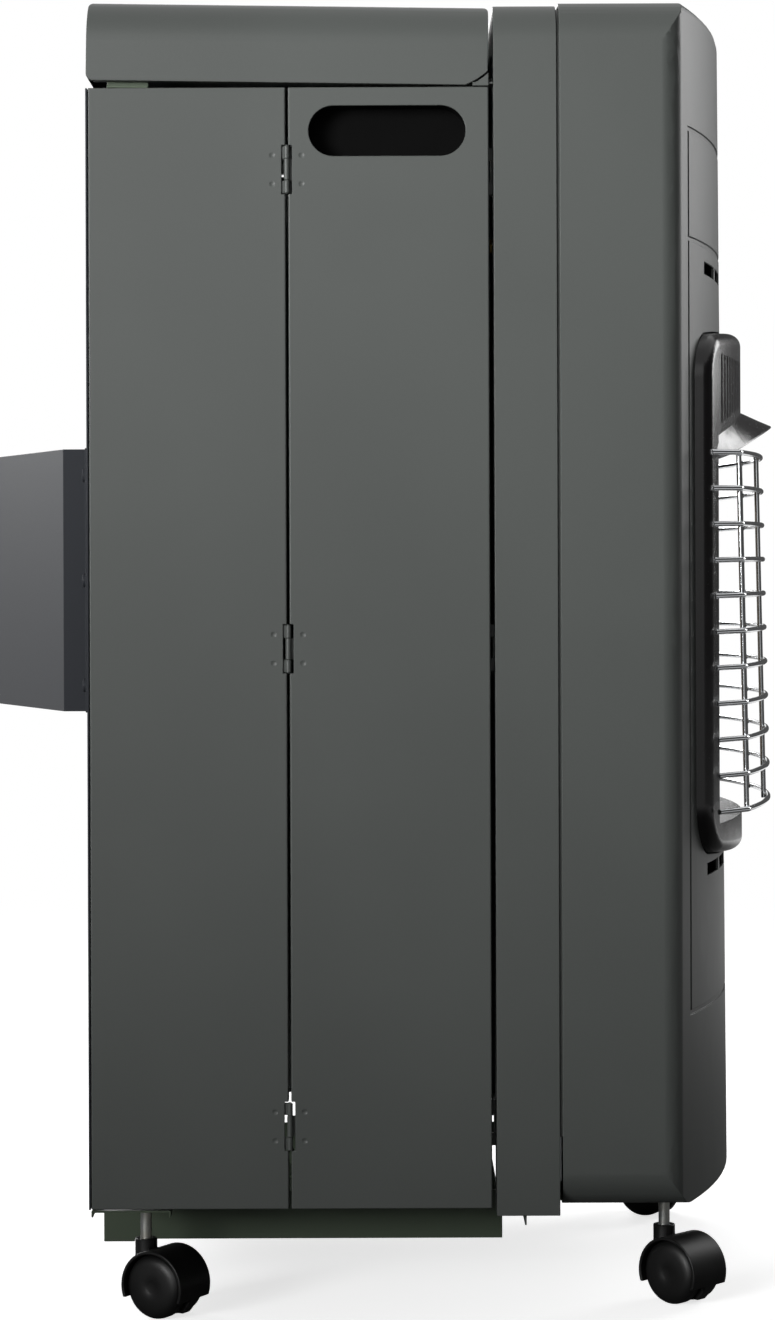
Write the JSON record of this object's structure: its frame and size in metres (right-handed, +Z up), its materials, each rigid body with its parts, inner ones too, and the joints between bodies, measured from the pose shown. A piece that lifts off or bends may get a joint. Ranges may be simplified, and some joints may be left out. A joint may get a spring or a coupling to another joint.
{
  "type": "portable gas cabinet heater",
  "caption": "Folding gas cabinet heater: bowed front with guarded radiant window, hinged lid, fold-in side panels, fold-up bottle tray and swivel casters.",
  "frame": {"origin": "on the floor, below the middle of the heater's bounding box", "axes": "+Z up, +Y from the radiant front towards the rear bulge, +X to the right seen from the rear"},
  "size_m": [0.4214, 0.47, 0.7434],
  "materials": {
    "cabinet_paint": "charcoal satin powder coat",
    "tray_paint": "dark satin powder coat",
    "rear_paint": "charcoal satin powder coat, bluish",
    "bezel_gloss": "near-black gloss enamel",
    "guard_chrome": "polished chrome wire",
    "zinc": "zinc plated",
    "bright_steel": "bright reflector sheet",
    "galvanised": "galvanised sheet",
    "ceramic": "perforated ceramic",
    "cast_alloy": "die cast",
    "brass": "machined",
    "copper": "drawn copper tube",
    "black_plastic": "satin black",
    "white_ceramic": "glazed insulator",
    "black_rubber": "black lead sleeve"
  },
  "bodies": {
    "front_body": {"front_shell": "cabinet_paint", "mid_frame": "cabinet_paint", "front_base_plate": "tray_paint", "heat_shield": "galvanised", "shield_screws": "zinc", "window_bezel": "bezel_gloss", "visor": "bezel_gloss", "wire_guard": "guard_chrome", "burner_box": "bright_steel", "ceramic_plaques": "ceramic", "burner_bodies": "galvanised", "injectors": "brass", "gas_rail": "galvanised", "gas_valve": "cast_alloy", "inlet_pipe": "copper", "burner_pipe": "copper", "pilot_pipe": "copper", "pilot_burner": "galvanised", "thermocouple": "copper", "spark_electrode": "white_ceramic", "piezo_igniter": "black_plastic", "ignition_lead": "black_rubber", "inlet_nozzle": "brass", "control_well": "black_plastic", "front_caster_stems": "zinc", "frame_hinge_leaves": "zinc", "lid_hinge_brackets": "tray_paint", "tray_hinge_brackets": "tray_paint"},
    "collar_body": {"thrust_collar": "zinc"},
    "knob_body": {"valve_spindle": "zinc", "control_knob": "black_plastic"},
    "button_body": {"piezo_button": "black_plastic"},
    "lid_body": {"lid": "cabinet_paint", "lid_brackets": "tray_paint"},
    "left_front_side": {"left_front_panel": "cabinet_paint", "left_handle_cup": "black_plastic", "left_front_hinge_leaves": "cabinet_paint"},
    "left_rear_side": {"left_rear_panel": "cabinet_paint", "left_rear_hinge_leaves": "cabinet_paint"},
    "right_front_side": {"right_front_panel": "cabinet_paint", "right_handle_cup": "black_plastic", "right_front_hinge_leaves": "cabinet_paint"},
    "right_rear_side": {"right_rear_panel": "cabinet_paint", "right_rear_hinge_leaves": "cabinet_paint"},
    "rear_body": {"rear_panel": "rear_paint", "bulge_cover": "rear_paint", "bulge_screws": "rear_paint", "rear_caster_channel": "tray_paint", "rear_caster_stems": "zinc", "rear_hinge_leaves": "zinc"},
    "tray_body": {"bottle_tray": "tray_paint"},
    "front_left_swivel": {"front_left_caster_hood": "black_plastic"},
    "front_left_wheel_pair": {"front_left_caster_wheels": "black_plastic"},
    "front_right_swivel": {"front_right_caster_hood": "black_plastic"},
    "front_right_wheel_pair": {"front_right_caster_wheels": "black_plastic"},
    "rear_left_swivel": {"rear_left_caster_hood": "black_plastic"},
    "rear_left_wheel_pair": {"rear_left_caster_wheels": "black_plastic"},
    "rear_right_swivel": {"rear_right_caster_hood": "black_plastic"},
    "rear_right_wheel_pair": {"rear_right_caster_wheels": "black_plastic"}
  },
  "joints": [
    {"name": "side_fold", "type": "hinge", "parent": "front_body", "child": "left_front_side", "pos_m": [-0.197, -0.0486, 0.38], "axis": [0, 0, -1], "range_deg": [0, 85]},
    {"name": "left_mid_fold", "type": "hinge", "parent": "left_front_side", "child": "left_rear_side", "pos_m": [-0.2091, 0.0572, 0.38], "axis": [0, 0, -1], "range_deg": [-170, 0]},
    {"name": "left_rear_fold", "type": "hinge", "parent": "left_rear_side", "child": "rear_body", "pos_m": [-0.197, 0.163, 0.38], "axis": [0, 0, -1], "range_deg": [0, 85]},
    {"name": "right_fold", "type": "hinge", "parent": "front_body", "child": "right_front_side", "pos_m": [0.197, -0.0486, 0.38], "axis": [0, 0, -1], "range_deg": [-85, 0]},
    {"name": "right_mid_fold", "type": "hinge", "parent": "right_front_side", "child": "right_rear_side", "pos_m": [0.2091, 0.0572, 0.38], "axis": [0, 0, -1], "range_deg": [0, 170]},
    {"name": "lid_lift", "type": "hinge", "parent": "front_body", "child": "lid_body", "pos_m": [0, -0.029, 0.73], "axis": [1, 0, 0], "range_deg": [0, 85]},
    {"name": "tray_fold", "type": "hinge", "parent": "front_body", "child": "tray_body", "pos_m": [0, -0.0865, 0.061], "axis": [1, 0, 0], "range_deg": [0, 90]},
    {"name": "knob_press", "type": "slide", "parent": "front_body", "child": "collar_body", "axis": [0, 0, -1], "range_m": [0, 0.004], "stiffness_N_per_m": 600, "springref_m": -0.004},
    {"name": "knob_turn", "type": "hinge", "parent": "collar_body", "child": "knob_body", "pos_m": [0.138, -0.127, 0.73], "axis": [0, 0, -1], "range_deg": [0, 170]},
    {"name": "button_press", "type": "slide", "parent": "front_body", "child": "button_body", "axis": [0, 0, -1], "range_m": [0, 0.006], "stiffness_N_per_m": 400, "springref_m": -0.004},
    {"name": "front_left_swivel_turn", "type": "hinge", "parent": "front_body", "child": "front_left_swivel", "pos_m": [-0.128, -0.1578, 0.041], "axis": [0, 0, 1], "continuous": true},
    {"name": "front_left_wheel_spin", "type": "hinge", "parent": "front_left_swivel", "child": "front_left_wheel_pair", "pos_m": [-0.13738, -0.16751, 0.0182], "axis": [0.7193, -0.6947, 0], "continuous": true},
    {"name": "front_right_swivel_turn", "type": "hinge", "parent": "front_body", "child": "front_right_swivel", "pos_m": [0.128, -0.1578, 0.041], "axis": [0, 0, 1], "continuous": true},
    {"name": "front_right_wheel_spin", "type": "hinge", "parent": "front_right_swivel", "child": "front_right_wheel_pair", "pos_m": [0.12125, -0.16949, 0.0182], "axis": [0.866, -0.5, 0], "continuous": true},
    {"name": "rear_left_swivel_turn", "type": "hinge", "parent": "rear_body", "child": "rear_left_swivel", "pos_m": [-0.162, 0.141, 0.041], "axis": [0, 0, 1], "continuous": true},
    {"name": "rear_left_wheel_spin", "type": "hinge", "parent": "rear_left_swivel", "child": "rear_left_wheel_pair", "pos_m": [-0.16895, 0.12943, 0.0182], "axis": [0.8572, -0.515, 0], "continuous": true},
    {"name": "rear_right_swivel_turn", "type": "hinge", "parent": "rear_body", "child": "rear_right_swivel", "pos_m": [0.162, 0.141, 0.041], "axis": [0, 0, 1], "continuous": true},
    {"name": "rear_right_wheel_spin", "type": "hinge", "parent": "rear_right_swivel", "child": "rear_right_wheel_pair", "pos_m": [0.15297, 0.13097, 0.0182], "axis": [0.7431, -0.6691, 0], "continuous": true}
  ],
  "couplings": [
    {"joint": "left_mid_fold", "follows": "side_fold", "ratio": -2},
    {"joint": "left_rear_fold", "follows": "side_fold", "ratio": 1},
    {"joint": "right_fold", "follows": "side_fold", "ratio": -1},
    {"joint": "right_mid_fold", "follows": "side_fold", "ratio": 2}
  ]
}
